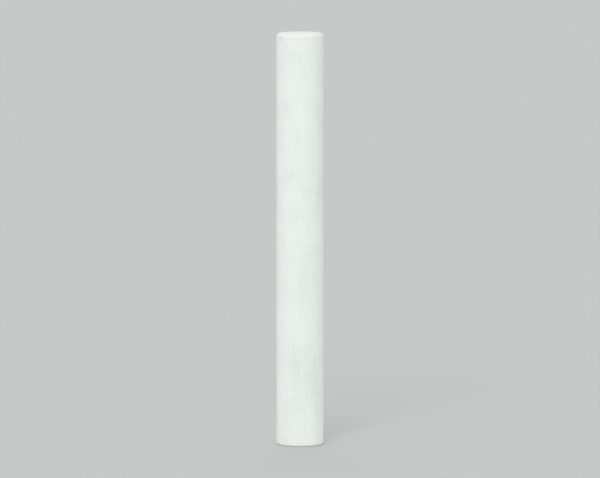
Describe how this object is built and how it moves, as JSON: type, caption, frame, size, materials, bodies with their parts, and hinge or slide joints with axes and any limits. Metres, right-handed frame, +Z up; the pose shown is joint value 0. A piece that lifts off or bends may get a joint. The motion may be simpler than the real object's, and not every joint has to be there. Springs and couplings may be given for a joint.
{
  "type": "chalk stick",
  "caption": "Plain round stick of white cast writing chalk with flat ends and softly rounded rims, standing upright on one end.",
  "frame": {"origin": "middle of the foot, the flat end that the stick stands on", "axes": "+Z up the stick's axis, from the foot to the top end"},
  "size_m": [0.0092, 0.0092, 0.08],
  "materials": {
    "chalk": "matte"
  },
  "bodies": {
    "root": {"chalk_stick": "chalk"}
  },
  "joints": []
}
